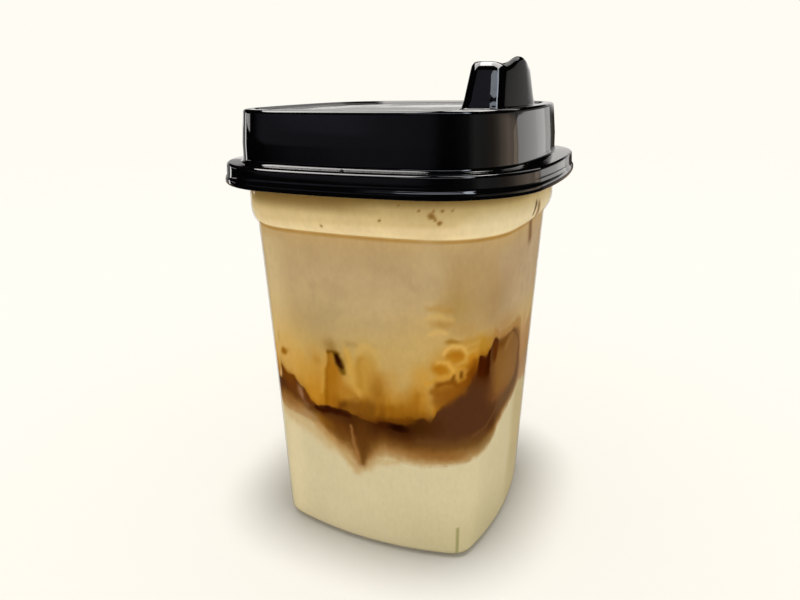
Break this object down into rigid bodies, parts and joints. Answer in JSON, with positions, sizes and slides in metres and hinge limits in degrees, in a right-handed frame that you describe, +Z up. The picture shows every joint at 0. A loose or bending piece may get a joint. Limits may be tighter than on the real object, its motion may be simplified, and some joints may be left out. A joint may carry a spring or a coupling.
{
  "type": "iced latte macchiato in a takeaway cup",
  "caption": "Layered iced milk coffee in a clear, rounded-square takeaway cup with a glossy black sip-spout lid.",
  "frame": {"origin": "middle of the cup's underside, on the surface it stands on", "axes": "+Z up through the lid; +X towards the side of the lid that carries the sip spout; -Y towards the wide face seen in front"},
  "size_m": [0.0936, 0.0936, 0.1399],
  "materials": {
    "clear_cup": "clear polished plastic",
    "black_lid": "glossy moulded",
    "milk": "liquid, cream",
    "espresso": "liquid, dark brown",
    "milk_coffee": "liquid, tan with golden swirls"
  },
  "bodies": {
    "root": {"cup": "clear_cup", "lid": "black_lid", "drink_milk": "milk", "drink_espresso": "espresso", "drink_milk_coffee": "milk_coffee"}
  },
  "joints": []
}
